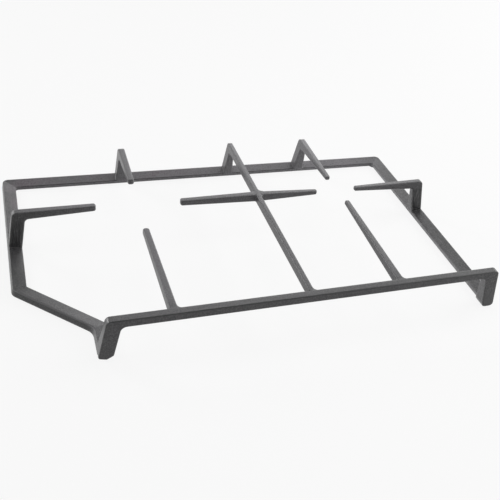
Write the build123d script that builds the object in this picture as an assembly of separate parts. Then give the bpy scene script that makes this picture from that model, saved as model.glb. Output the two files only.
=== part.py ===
"""Hob pan support: one iron casting that carries pans over two gas burners.

A low rim lies on the hob, open at the front and cut across at the front left corner.
Posts on the rim and a raised front bar on two legs carry the middle bar and the fingers.
The tops of the bars and fingers all lie in one plane.
Origin: centre of the overall box, on the hob's surface. X runs along the front bar, +Y to the back, +Z up.
"""

import os
from math import atan, atan2, degrees, tan

from build123d import *

# Overall sizes in millimetres
length = 470.0
depth = 298.2
height = 45.6

# Rim, with a low pad under three of its corners
foot_height = 1.5
pad_diameter = 12.0
pad_shift = 3.5
rim_width = 14.0
rim_outer_height = 6.6
rim_inner_height = 3.8
rim_lean = 0.19
rim_edge_height = 0.9
left_side_length = 195.5
stub_inset = 65.2
stub_length = 27.5
back_corner_radius = 7.0
cut_corner_radius = 10.0
stub_bend_radius = 14.0
inner_corner_radius = 3.0

# Middle bar, and the fingers round the left and the right burner
middle_bar_width = 5.1
bar_height = 9.0
left_finger_width = 7.3
left_tip_width = 6.1
left_tip_height = 6.4
right_finger_width = 7.0
right_tip_width = 5.2
right_tip_height = 4.7
bar_lean = 0.07
edge_radius = 1.0
tip_roundness = 0.4  # share of the tip's width, in plan
under_roundness = 0.36  # share of the tip's width, along the underside
top_step = 0.15  # a bar that runs into another lies this far below it
right_web_radius = 4.2
left_web_radius = 2.0

# Posts that stand on the rim
post_width = 13.0
post_inset = 0.6
side_post_lean = 0.17
back_post_lean = 0.21
shoulder_radius = 4.5
post_inner_radius = 4.5

# Front bar and its legs
front_bar_width = 7.8
front_bar_height = 8.1
front_lean = 0.022
back_lean = 0.12
leg_width = 13.2
left_leg_lean = 0.205
left_leg_inner_lean = 0.225
right_leg_lean = 0.16
right_leg_inner_lean = 0.19
left_foot_inset = 63.6
right_foot_inset = 3.2
foot_corner_radius = 4.0
leg_shoulder_radius = 4.5
leg_inner_radius = 6.0

# Worn end of the left leg, which stays off the hob: its outer corner, lowest point and inner corner
worn_outer_height = 5.0
worn_low_height = 3.0
worn_inner_height = 6.5
worn_low_share = 0.6
worn_corner_radius = 2.0

# End of the rim behind the front bar
rim_end_inset = 10.0

# Burner centres and middle bar, from the rim's left and back edges
left_burner_from_left = 130.7
right_burner_from_left = 351.4
middle_bar_from_left = 259.2
burners_from_back = 122.5

# Distance of each finger tip from its burner's centre, and its shift to one side, as cast
left_gap = 43.0
left_back_gap = 42.8
left_front_gap = 46.0
right_gap = 21.9
right_inner_gap = 24.3
right_back_gap = 20.9
right_front_gap = 27.8
left_tip_shift = 1.2
right_tip_shift = -3.2
inner_left_tip_shift = -1.4
inner_right_tip_shift = -3.4
back_left_tip_shift = -0.3
back_right_tip_shift = -0.6
front_left_tip_shift = -1.5
front_right_tip_shift = 2.2

left = -length / 2
right = length / 2
front = -depth / 2
back = depth / 2
burners_y = back - burners_from_back
left_burner_x = left + left_burner_from_left
right_burner_x = left + right_burner_from_left
middle_bar_x = left + middle_bar_from_left
front_bar_y = front + front_lean * height + front_bar_width / 2


def outline(points, radii):
    """Closed flat face with a rounding at each corner."""
    return make_face(FilletPolyline(*points, radius=radii, close=True))


def rim_corners(inset, front_y):
    """Corners of the rim's outline in plan, moved inwards by the inset."""
    cut_y = back - left_side_length
    stub_x = left + stub_inset
    stub_y = front + rim_end_inset + stub_length
    bend = inset * tan(atan2(stub_inset, cut_y - stub_y) / 2)
    return [
        (right - inset, front_y),
        (right - inset, back - inset),
        (left + inset, back - inset),
        (left + inset, cut_y + bend),
        (stub_x + inset, stub_y + bend),
        (stub_x + inset, front_y),
    ]


def rim():
    """Low frame with a leaning outer wall, a softened top edge and a top that falls towards the inside."""
    slope = (rim_outer_height - rim_inner_height) / (rim_width - rim_lean * rim_outer_height)
    margin = rim_width / 2
    past_front = front - margin
    outer_radii = [0, back_corner_radius, back_corner_radius, cut_corner_radius, stub_bend_radius, 0]
    inner_radii = [0] + 4 * [inner_corner_radius] + [0]
    wall_height = rim_outer_height - rim_edge_height
    wall_angle = degrees(atan(rim_lean))
    plan = outline(rim_corners(0, front + rim_end_inset), outer_radii)
    blank = extrude(plan, wall_height, taper=wall_angle)
    facets = 2
    for step in range(1, facets + 1):
        top = blank.faces().sort_by(Axis.Z)[-1]
        turn = (90 - wall_angle) * step / (facets + 1)
        blank += extrude(top, rim_edge_height / facets, taper=wall_angle + turn)
    inside = extrude(outline(rim_corners(rim_width, past_front), inner_radii), height, both=True)
    low = make_face(Polyline(*rim_corners(rim_width, past_front), close=True))
    high = make_face(Polyline(*rim_corners(-margin, past_front), close=True))
    above = loft(
        [
            Plane.XY.offset(rim_inner_height) * low,
            Plane.XY.offset(rim_inner_height + slope * (rim_width + margin)) * high,
        ],
        ruled=True,
    )
    return Pos(0, 0, foot_height) * (blank - inside - above)


def pads():
    """Round pads that stand on the hob, under three corners of the rim."""
    middle = rim_width / 2
    cut_y = back - left_side_length
    places = [
        (left + middle, back - middle),
        (right - middle - pad_shift, back - middle - pad_shift),
        (left + middle, cut_y + middle),
    ]
    pad_height = foot_height + rim_inner_height / 2
    pad = Cylinder(pad_diameter / 2, pad_height, align=(Align.CENTER, Align.CENTER, Align.MIN))
    return [Pos(x, y, 0) * pad for x, y in places]


def drafted(start, stop, start_width, stop_width, near_lean, far_lean, shift):
    """Bar along X whose two sides lean outwards from above the top plane down to below the hob."""
    over = edge_radius
    overrun = 0.1

    def section(share):
        x = start + share * (stop - start)
        width = start_width + share * (stop_width - start_width)
        near = share * shift - width / 2
        far = share * shift + width / 2
        return [
            (x, near + near_lean * over, height + over),
            (x, far - far_lean * over, height + over),
            (x, far + far_lean * (height + over), -over),
            (x, near - near_lean * (height + over), -over),
        ]

    first = section(-overrun)
    last = section(1 + overrun)
    around = [[first[i], first[i - 1], last[i - 1], last[i]] for i in range(4)]
    faces = [make_face(Polyline(*points, close=True)).face() for points in [first, last, *around]]
    return Part() + Solid(Shell(faces))


def trimmed(profile, radii, sides):
    """Profile in the XZ plane, trimmed by two drafted sides."""
    return extrude(Plane.XZ * outline(profile, radii), height, both=True) & sides


def sharp_edges(shape, start, stop):
    """Sharp outer edges above the rim between two places along X: those of undersides, and the rest."""
    sharp_cosine = 0.8
    downward = -0.5
    probe = edge_radius / 100
    neighbours = {}
    for face in shape.faces():
        for edge in face.edges():
            neighbours.setdefault(edge, []).append(face)
    solid = shape.solid()
    under = []
    rest = []
    for edge, faces in neighbours.items():
        place = edge.position_at(0.5)
        normals = [face.normal_at(place) for face in faces]
        is_sharp = len(faces) == 2 and normals[0].dot(normals[1]) < sharp_cosine
        outside = place + (normals[0] + normals[-1]) * probe
        in_reach = start + probe < place.X < stop - probe and place.Z > foot_height + rim_outer_height
        if is_sharp and in_reach and not solid.is_inside(outside):
            faces_down = min(normal.Z for normal in normals) < downward
            (under if faces_down else rest).append(edge)
    return under, rest


def rounded(bar, reach, width):
    """Round the edges of a bar along X from 0 to its reach, its underside more widely."""
    under, _ = sharp_edges(bar, 0, reach)
    soft_below = fillet(under, under_roundness * width)
    _, rest = sharp_edges(soft_below, 0, reach)
    return fillet(rest, edge_radius)


def rounded_finger(bar, reach, width):
    """Round the upright edges at a finger's tip, then its other edges."""
    near = edge_radius / 100
    at_tip = bar.edges().filter_by_position(Axis.X, reach - near, reach + near)
    upright = [edge for edge in at_tip if abs(edge.tangent_at(0.5).Z) > abs(edge.tangent_at(0.5).Y)]
    return rounded(fillet(upright, tip_roundness * width), reach + edge_radius, width)


def post_bar(lean, reach, widths, tip_height=None, shift=0.0):
    """Post at X = 0 with its bar along +X, up to a finger tip if it has a height, or into another bar."""
    base = foot_height + rim_inner_height / 2
    under = height - bar_height

    def outer(z):
        return post_inset + lean * (z - foot_height)

    profile = [
        (outer(base), base),
        (outer(height), height),
        (reach, height),
        (reach, height - tip_height if tip_height else under),
        (outer(under) + post_width, under),
        (outer(base) + post_width, base),
    ]
    radii = [0, shoulder_radius, 0, 0, post_inner_radius, 0]
    sides = drafted(0, reach, *widths, bar_lean, bar_lean, shift)
    bar = trimmed(profile, radii, sides)
    finish = rounded_finger if tip_height else rounded
    return finish(bar, reach, widths[1])


def finger(reach, widths, tip_height, shift):
    """Finger along +X from the middle of another bar to its tip."""
    profile = [(0, height), (reach, height), (reach, height - tip_height), (0, height - bar_height)]
    sides = drafted(0, reach, *widths, bar_lean, bar_lean, shift)
    return rounded_finger(trimmed(profile, [0, 0, 0, 0], sides), reach, widths[1])


def front_frame():
    """Raised front bar with a leaning leg at each end."""
    under = height - front_bar_height
    left_foot = left + left_foot_inset
    left_inside = left_foot + leg_width
    right_foot = right - right_foot_inset
    right_inside = right_foot - leg_width
    low_x = left_foot + left_leg_lean * worn_low_height + worn_low_share * leg_width
    profile = [
        (low_x, worn_low_height),
        (left_foot + left_leg_lean * worn_outer_height, worn_outer_height),
        (left_foot + left_leg_lean * height, height),
        (right_foot - right_leg_lean * height, height),
        (right_foot, 0),
        (right_inside, 0),
        (right_inside - right_leg_inner_lean * under, under),
        (left_inside + left_leg_inner_lean * under, under),
        (left_inside + left_leg_inner_lean * worn_inner_height, worn_inner_height),
    ]
    left_radii = [worn_corner_radius, worn_corner_radius, leg_shoulder_radius]
    right_radii = [leg_shoulder_radius, foot_corner_radius, foot_corner_radius]
    under_radii = [leg_inner_radius, leg_inner_radius, worn_corner_radius]
    sides = drafted(left, right, front_bar_width, front_bar_width, front_lean, back_lean, 0)
    bar = trimmed(profile, left_radii + right_radii + under_radii, sides)
    below, rest = sharp_edges(bar, left, right)
    return Pos(0, front_bar_y, 0) * fillet(below + rest, edge_radius)


def junction_web(radius):
    """Rounded corner between a bar along X and a bar along Y, whose sides meet at the origin."""
    inside = edge_radius
    line = Polyline((0, radius), (-inside, radius), (-inside, -inside), (radius, -inside), (radius, 0))
    arc = RadiusArc((radius, 0), (0, radius), radius)
    top = height - edge_radius / 2
    return Pos(0, 0, top) * extrude(make_face([*line.edges(), arc]), edge_radius - bar_height)


def webs():
    """Corners between the bars: wide on the right of each bar that runs to the back, narrow on its left."""
    front_corner_y = front_bar_y + front_bar_width / 2
    middle_half = middle_bar_width / 2
    roots = [
        (left_burner_x, left_finger_width / 2),
        (middle_bar_x, middle_half),
        (right_burner_x, right_finger_width / 2),
    ]
    pieces = []
    for x, half in roots:
        pieces.append(Pos(x + half, front_corner_y, 0) * junction_web(right_web_radius))
        pieces.append(Pos(x - half, front_corner_y, 0) * Rot(0, 0, 90) * junction_web(left_web_radius))
    for turn, (side_x, side_y) in enumerate([(1, 1), (-1, 1), (-1, -1), (1, -1)]):
        finger_half = (right_finger_width if side_x > 0 else left_finger_width) / 2
        corner = Pos(middle_bar_x + side_x * middle_half, burners_y + side_y * finger_half, 0)
        radius = right_web_radius if side_x > 0 else left_web_radius
        pieces.append(corner * Rot(0, 0, 90 * turn) * junction_web(radius))
    return pieces


def left_fingers():
    """The four fingers round the left burner."""
    widths = (left_finger_width, left_tip_width)
    size = (widths, left_tip_height)
    side_reach = left_burner_from_left - left_gap
    inner_reach = middle_bar_x - left_burner_x - left_gap
    back_reach = burners_from_back - left_back_gap
    front_reach = burners_y - left_front_gap - front_bar_y
    side = post_bar(side_post_lean, side_reach, *size, left_tip_shift)
    inner = finger(inner_reach, *size, -inner_left_tip_shift)
    behind = post_bar(back_post_lean, back_reach, *size, back_left_tip_shift)
    before = finger(front_reach, *size, -front_left_tip_shift)
    return [
        Pos(left, burners_y, 0) * side,
        Pos(middle_bar_x, burners_y, -2 * top_step) * Rot(0, 0, 180) * inner,
        Pos(left_burner_x, back, 0) * Rot(0, 0, -90) * behind,
        Pos(left_burner_x, front_bar_y, -top_step) * Rot(0, 0, 90) * before,
    ]


def right_fingers():
    """The four fingers round the right burner."""
    widths = (right_finger_width, right_tip_width)
    size = (widths, right_tip_height)
    side_reach = length - right_burner_from_left - right_gap
    inner_reach = right_burner_x - right_inner_gap - middle_bar_x
    back_reach = burners_from_back - right_back_gap
    front_reach = burners_y - right_front_gap - front_bar_y
    side = post_bar(side_post_lean, side_reach, *size, -right_tip_shift)
    inner = finger(inner_reach, *size, inner_right_tip_shift)
    behind = post_bar(back_post_lean, back_reach, *size, back_right_tip_shift)
    before = finger(front_reach, *size, -front_right_tip_shift)
    return [
        Pos(right, burners_y, 0) * Rot(0, 0, 180) * side,
        Pos(middle_bar_x, burners_y, -2 * top_step) * inner,
        Pos(right_burner_x, back, 0) * Rot(0, 0, -90) * behind,
        Pos(right_burner_x, front_bar_y, -top_step) * Rot(0, 0, 90) * before,
    ]


def middle_bar():
    """Bar from a post on the rim's back to the front bar."""
    widths = (middle_bar_width, middle_bar_width)
    bar = post_bar(back_post_lean, back - front_bar_y, widths)
    return Pos(middle_bar_x, back, -top_step) * Rot(0, 0, -90) * bar


os.makedirs("parts", exist_ok=True)
grid = [front_frame(), middle_bar(), *left_fingers(), *right_fingers(), *webs()]
pan_support = rim().fuse(*grid, *pads()).clean()
export_step(pan_support, "parts/pan_support.step")
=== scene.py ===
"""Looks of the hob pan support: an enamelled iron casting on a pale floor in soft studio light."""

import bpy
from mathutils import Matrix, Vector

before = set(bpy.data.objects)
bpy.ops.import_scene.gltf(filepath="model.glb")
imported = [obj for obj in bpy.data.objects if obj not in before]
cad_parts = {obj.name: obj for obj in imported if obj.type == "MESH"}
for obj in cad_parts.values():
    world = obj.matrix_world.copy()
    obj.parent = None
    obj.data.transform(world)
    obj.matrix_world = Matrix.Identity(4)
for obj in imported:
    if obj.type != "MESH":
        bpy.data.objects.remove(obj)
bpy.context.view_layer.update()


class Value:
    """A shader socket. Maths on it adds Math nodes to its shader."""

    def __init__(self, shader, socket):
        self.shader = shader
        self.socket = socket

    def math(self, operation, *values):
        inputs = dict(enumerate(values))
        return self.shader.node("ShaderNodeMath", {"operation": operation}, inputs)

    def __add__(self, other):
        return self.math("ADD", self, other)

    def __sub__(self, other):
        return self.math("SUBTRACT", self, other)

    def __rsub__(self, other):
        return self.math("SUBTRACT", other, self)

    def __neg__(self):
        return 0 - self

    def __mul__(self, other):
        return self.math("MULTIPLY", self, other)

    __radd__ = __add__
    __rmul__ = __mul__

    def rising(self, low, high):
        """0 up to low, 1 from high on, and a straight slope between them."""
        settings = {"clamp": True}
        inputs = {"Value": self, "From Min": low, "From Max": high}
        return self.shader.node("ShaderNodeMapRange", settings, inputs)

    def falling(self, low, high):
        """1 up to low, 0 from high on, and a straight slope between them."""
        return 1 - self.rising(low, high)

    def towards(self, other, share):
        """This value where the share is 0, and the other one where it is 1."""
        return self + share * (other - self)


class Shader:
    """Node tree of one finish."""

    def __init__(self, tree):
        self.tree = tree
        tree.nodes.clear()

    def node(self, kind, settings=None, inputs=None, output=0):
        """New node with its settings first, then the values or links of its sockets."""
        made = self.tree.nodes.new(kind)
        for name, setting in (settings or {}).items():
            setattr(made, name, setting)
        for key, value in (inputs or {}).items():
            socket = made.inputs[key]
            if isinstance(value, Value):
                self.tree.links.new(value.socket, socket)
            else:
                socket.default_value = value
        return Value(self, made.outputs[output]) if made.outputs else None

    def noise(self, place, scale, detail=2.0, roughness=0.5):
        """Cloudy pattern from 0 to 1, with about scale clouds in a metre."""
        inputs = {"Vector": place, "Scale": scale, "Detail": detail, "Roughness": roughness}
        return self.node("ShaderNodeTexNoise", None, inputs)

    def stretched(self, place, shares):
        """Place with each axis scaled. A pattern on it runs longer along an axis with a small share."""
        return self.node("ShaderNodeVectorMath", {"operation": "MULTIPLY"}, {0: place, 1: shares})

    def part(self, place, axis):
        return self.node("ShaderNodeSeparateXYZ", None, {"Vector": place}, axis)

    def dot(self, first, second):
        return self.node("ShaderNodeVectorMath", {"operation": "DOT_PRODUCT"}, {0: first, 1: second}, "Value")

    def mixed(self, share, first, second):
        """Colour that goes from first to second with the share."""
        factor, colour_a, colour_b, result = 0, 6, 7, 2
        inputs = {factor: share, colour_a: first, colour_b: second}
        return self.node("ShaderNodeMix", {"data_type": "RGBA"}, inputs, result)

    def seen(self):
        """1 for rays from the camera, off gloss and through glass, and 0 for rays that only carry light."""
        camera_ray = self.node("ShaderNodeLightPath", output="Is Camera Ray")
        glossy_ray = self.node("ShaderNodeLightPath", output="Is Glossy Ray")
        clear_ray = self.node("ShaderNodeLightPath", output="Is Transmission Ray")
        return camera_ray + glossy_ray + clear_ray


def grey(level):
    return (level, level, level, 1.0)


def cool_grey(level):
    """Grey of the enamel, with slightly more blue than red or green."""
    return (1.005 * level, 0.995 * level, 1.03 * level, 1.0)


class Places:
    """Where a point lies on the casting, in metres, and masks from 0 to 1 for parts of the casting."""

    def __init__(self, shader):
        self.point = shader.node("ShaderNodeTexCoord", output="Object")
        self.across = shader.part(self.point, 0)
        self.along = shader.part(self.point, 1)
        self.height = shader.part(self.point, 2)
        self.face = shader.node("ShaderNodeNewGeometry", output="Normal")
        self.soft_face = shader.node("ShaderNodeBevel", {"samples": 8}, {"Radius": 0.0018})

        self.level = shader.dot(self.face, (0.0, 0.0, 1.0)).rising(0.3, 0.7)
        self.upright = 1 - self.level
        self.from_middle_squared = self.across * self.across
        self.at_side = self.from_middle_squared.rising(0.214 ** 2, 0.218 ** 2)
        self.left_side = (-self.across).rising(0.2, 0.222)
        self.right_side = self.across.rising(0.2, 0.222)
        self.left_half = self.across.falling(-0.06, 0.02)
        self.front_half = self.along.falling(0.0, 0.05)
        self.back_half = self.along.rising(0.0, 0.01)

        self.on_rim = self.height.falling(0.007, 0.009)
        self.on_bar = self.height.rising(0.034, 0.038)
        self.on_post = self.upright * self.height.rising(0.009, 0.012) * (1 - self.on_bar)
        self.side_post = self.on_post * self.at_side * self.back_half
        to_left = -shader.part(self.face, 0)
        # Faces that turn to the left on the right side, where light is painted on.
        self.left_facing_on_right = to_left.rising(0.3, 0.8) * self.across.rising(0.19, 0.205)


class Patterns:
    """Uneven marks in the enamel, from 0 to 1. Streaks run along the rim and the bars, and down the posts."""

    def __init__(self, shader, places):
        point = places.point
        self.clouds = shader.noise(point, 40.0, detail=3.0)
        self.blotches = shader.noise(point, 230.0, detail=3.0, roughness=0.6)
        self.grain = shader.noise(point, 800.0, roughness=0.6)
        speckle = shader.noise(point, 900.0, detail=1.0)

        along_front = shader.stretched(point, (0.05, 1.0, 1.0))
        along_side = shader.stretched(point, (1.0, 0.05, 1.0))
        down_post = shader.stretched(point, (1.0, 1.0, 0.06))
        front_streaks = shader.noise(along_front, 620.0, roughness=0.6)
        side_streaks = shader.noise(along_side, 620.0, roughness=0.6)
        post_streaks = shader.noise(down_post, 850.0, roughness=0.6)
        flat_streaks = front_streaks.towards(side_streaks, places.at_side)
        self.streaks = flat_streaks.towards(post_streaks, places.on_post)
        self.specks = speckle.towards(post_streaks, places.side_post)


def clean_enamel(shader, patterns):
    coarse = patterns.clouds * 0.2 + patterns.blotches * 0.25
    shade = coarse + patterns.grain * 0.25 + patterns.streaks * 0.3
    return shader.mixed(shade.rising(0.36, 0.64), cool_grey(0.028), cool_grey(0.092))


def with_painted_light_and_tinge(shader, places, patterns, colour):
    """Paler as painted light, more at the back and on the left tops, with a violet tinge on the rim's left
    half.
    """
    across, along = places.across, places.along
    between_sides = places.from_middle_squared.falling(0.17 ** 2, 0.235 ** 2)
    at_back = (0.3 + 0.45 * across.rising(-0.15, 0.15)) * along.rising(-0.05, 0.15)
    back_rim = places.on_rim * along.rising(0.12, 0.13)
    left_tops = places.height.rising(0.03, 0.034) * (-across).rising(0.05, 0.08)
    left_tops = left_tops * along.rising(-0.137, -0.13) * along.falling(0.04, 0.07) * places.level
    # Painted light: paler between the sides, more at the back, on the back rim and on the left tops.
    painted_light = between_sides * (0.2 + at_back) + 0.2 * back_rim
    painted_light = painted_light + left_tops * (0.35 + 0.2 * places.back_half)
    lit_colour = shader.mixed(painted_light, colour, (0.175, 0.169, 0.18, 1.0))

    tinge = places.on_rim * places.left_half * along.rising(0.03, 0.05) * patterns.clouds.rising(0.4, 0.6)
    return shader.mixed(tinge * 0.7, lit_colour, (0.135, 0.112, 0.128, 1.0))


def with_painted_shade(shader, places, colour):
    """Painted shade on the sides of the rim at the front, on the side posts, and on the front bar."""
    along = places.along
    left_front = places.left_side * along.rising(-0.055, -0.045) * places.front_half
    right_front = places.right_side * places.front_half
    posts = places.side_post * (0.3 + 0.4 * places.right_side)
    front_face = places.upright * places.on_bar * along.falling(-0.15, -0.135)
    front_top = places.level * along.falling(-0.14, -0.125) * places.across.rising(-0.05, 0.15)
    # Painted shade: darker on the rim's sides at the front, on the side posts and on the front bar.
    painted_shade = left_front * 0.6 + right_front * 0.2 + posts + front_face * 0.25 + front_top * 0.7
    return shader.mixed(painted_shade, colour, cool_grey(0.012))


def with_painted_inner_light(shader, places, patterns, colour):
    """Painted light on the faces that turn to the left on the right side, and on the inner lip of the rim."""
    blotches = patterns.blotches
    # Painted light on the faces that turn to the left on the right side, and on the low inner lip.
    lit_inner_faces = shader.mixed(places.left_facing_on_right * (0.2 + blotches * 0.7), colour, cool_grey(0.2))
    inward = (-shader.dot(places.face, places.point)).rising(0.08, 0.12)
    lip = (0.3 * inward + 0.7 * places.left_facing_on_right) * places.height.falling(0.004, 0.0055)
    return shader.mixed(lip * (0.4 + blotches * 0.8), lit_inner_faces, cool_grey(0.36))


def with_specks(shader, places, patterns, colour):
    """Dark pits and pale dust, strongest on the side posts."""
    pits = patterns.specks.falling(0.3, 0.52) * (0.5 + places.side_post * 0.4)
    dust = patterns.specks.rising(0.52, 0.72) * (0.3 + places.side_post * 0.3)
    pitted = shader.mixed(pits, colour, cool_grey(0.004))
    return shader.mixed(dust, pitted, cool_grey(0.2))


def with_edges(shader, places, patterns, colour):
    """Painted highlights on upright edges, painted dark reflections along the top edges at the front, and
    painted highlights on the top edges to the left.
    """
    rise = shader.part(places.soft_face, 2)
    edge = (1 - shader.dot(places.soft_face, places.face)).rising(0.02, 0.25)
    upright_edge = edge * (rise * rise).falling(0.02, 0.15)
    # Painted highlight along upright edges.
    edge_highlight = upright_edge * (0.3 + patterns.blotches * 0.5) * (1 - places.left_side * 0.5)
    edge_lit = shader.mixed(edge_highlight, colour, cool_grey(0.14))

    # Painted dark reflection along the top edges that face the front.
    to_front = (-shader.part(places.soft_face, 1)).rising(0.2, 0.5)
    front_edge = rise.rising(0.12, 0.3) * rise.falling(0.8, 0.95) * to_front
    behind_front_bar = places.along.rising(-0.13, -0.11) * places.on_bar
    weaker = 1 - behind_front_bar * (0.8 - 0.3 * places.left_half)
    line = (0.85 - 0.35 * places.across.rising(0.0, 0.2)) * weaker
    lined = shader.mixed(front_edge * line, edge_lit, cool_grey(0.008))

    # Painted highlight along the top edges that face left.
    to_left = (-shader.part(places.soft_face, 0)).rising(0.2, 0.5)
    left_edge = rise.rising(0.2, 0.4) * rise.falling(0.85, 0.97) * to_left
    return shader.mixed(left_edge * 0.5, lined, cool_grey(0.2))


def with_painted_corner_shade(shader, colour):
    """Painted shade where two faces meet in a hollow."""
    settings = {"samples": 8, "only_local": True}
    # Painted shade in hollows, from the casting's own occlusion.
    corner = 1 - shader.node("ShaderNodeAmbientOcclusion", settings, {"Distance": 0.014}, "AO")
    return shader.mixed(corner.rising(0.25, 0.7) * 0.8, colour, cool_grey(0.01))


def enamelled_iron():
    """Dark enamel over cast iron, grainy and streaked, with painted light and shade: paler at the back and on
    the left tops, darker at the front, on the side posts and in hollows, and painted highlights and dark
    lines along edges.
    """
    material = bpy.data.materials.new("enamelled_iron")
    material.use_nodes = True
    shader = Shader(material.node_tree)
    places = Places(shader)
    patterns = Patterns(shader, places)

    colour = clean_enamel(shader, patterns)
    colour = with_painted_light_and_tinge(shader, places, patterns, colour)
    colour = with_painted_shade(shader, places, colour)
    colour = with_painted_inner_light(shader, places, patterns, colour)
    colour = with_specks(shader, places, patterns, colour)
    colour = with_edges(shader, places, patterns, colour)
    colour = with_painted_corner_shade(shader, colour)

    relief = patterns.blotches * 0.3 + patterns.grain * 0.4 + patterns.streaks * 0.3
    relief = relief * (1 + places.at_side)
    bump = {"Strength": 0.5, "Distance": 0.0004, "Height": relief, "Normal": places.soft_face}
    coat = {
        "Base Color": colour,
        "Roughness": 0.28 + 0.08 * patterns.grain + 0.06 * patterns.clouds,
        "Specular IOR Level": 0.5,
        "Normal": shader.node("ShaderNodeBump", None, bump),
    }
    surface = shader.node("ShaderNodeBsdfPrincipled", None, coat)
    shader.node("ShaderNodeOutputMaterial", None, {"Surface": surface})
    return material


def pale_floor():
    """White floor. Seen directly it is mostly plain white, and keeps a faint shadow."""
    plain_white_share = 0.88
    material = bpy.data.materials.new("pale_floor")
    material.use_nodes = True
    shader = Shader(material.node_tree)
    card = shader.node("ShaderNodeBsdfDiffuse", None, {"Color": grey(0.85)})
    white = shader.node("ShaderNodeEmission", None, {"Color": grey(1.0), "Strength": 1.0})
    share = shader.seen() * plain_white_share
    surface = shader.node("ShaderNodeMixShader", None, {0: share, 1: card, 2: white})
    shader.node("ShaderNodeOutputMaterial", None, {"Surface": surface})
    return material


def floor():
    half = 6.0
    mesh = bpy.data.meshes.new("floor")
    corners = [(-half, -half, 0), (half, -half, 0), (half, half, 0), (-half, half, 0)]
    mesh.from_pydata(corners, [], [(0, 1, 2, 3)])
    mesh.materials.append(pale_floor())
    piece = bpy.data.objects.new("floor", mesh)
    bpy.context.collection.objects.link(piece)


def softbox(name, place, size, power):
    """Studio light, as wide and high as its size, that faces the middle of the casting."""
    light = bpy.data.lights.new(name, "AREA")
    light.shape = "RECTANGLE"
    light.size, light.size_y = size
    light.energy = power
    lamp = bpy.data.objects.new(name, light)
    lamp.location = place
    lamp.rotation_euler = (-Vector(place)).to_track_quat("-Z", "Y").to_euler()
    bpy.context.collection.objects.link(lamp)


def white_surroundings():
    """White beyond the floor for the camera and in gloss. Any other light from there is faint."""
    world = bpy.data.worlds.new("studio")
    world.use_nodes = True
    shader = Shader(world.node_tree)
    air = shader.node("ShaderNodeBackground", None, {"Color": grey(1.0), "Strength": 0.02})
    white = shader.node("ShaderNodeBackground", None, {"Color": grey(1.0), "Strength": 1.0})
    surface = shader.node("ShaderNodeMixShader", None, {0: shader.seen(), 1: air, 2: white})
    shader.node("ShaderNodeOutputWorld", None, {"Surface": surface})
    bpy.context.scene.world = world


def studio():
    softbox("back_left_softbox", place=(-1.5, 1.5, 0.85), size=(0.7, 0.7), power=13.6)
    softbox("back_right_softbox", place=(1.0, 1.65, 0.85), size=(1.8, 0.75), power=7.2)
    softbox("right_softbox", place=(1.5, 0.1, 0.6), size=(1.2, 1.0), power=20.0)
    softbox("left_softbox", place=(-1.3, 0.0, 0.9), size=(1.0, 1.0), power=5.0)
    softbox("top_softbox", place=(0.15, 0.1, 0.75), size=(0.5, 0.5), power=1.3)
    softbox("front_softbox", place=(0.5, -0.5, 0.5), size=(0.4, 0.4), power=0.5)
    white_surroundings()


def camera():
    """Camera at the photograph's place, from a fit to the casting's straight edges."""
    image_width = 500.0
    focal_pixels = 731.297
    centre_pixels = (287.865, 265.18)
    place = Vector((-0.219308, -0.604497, 0.467276))
    to_right = Vector((0.93609, -0.328129, 0.126756))
    up = Vector((0.106905, 0.608682, 0.786179))
    lens = bpy.data.cameras.new("camera")
    lens.sensor_width = 36.0
    lens.lens = lens.sensor_width * focal_pixels / image_width
    lens.shift_x = 0.5 - centre_pixels[0] / image_width
    lens.shift_y = centre_pixels[1] / image_width - 0.5
    lens.clip_start = 0.01
    viewer = bpy.data.objects.new("camera", lens)
    axes = Matrix((to_right, up, to_right.cross(up))).transposed()
    viewer.matrix_world = Matrix.Translation(place) @ axes.to_4x4()
    bpy.context.collection.objects.link(viewer)
    bpy.context.scene.camera = viewer


def casting():
    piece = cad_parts["pan_support"]
    piece.data.materials.clear()
    piece.data.materials.append(enamelled_iron())


casting()
floor()
studio()
camera()
bpy.context.scene.view_settings.view_transform = "Standard"
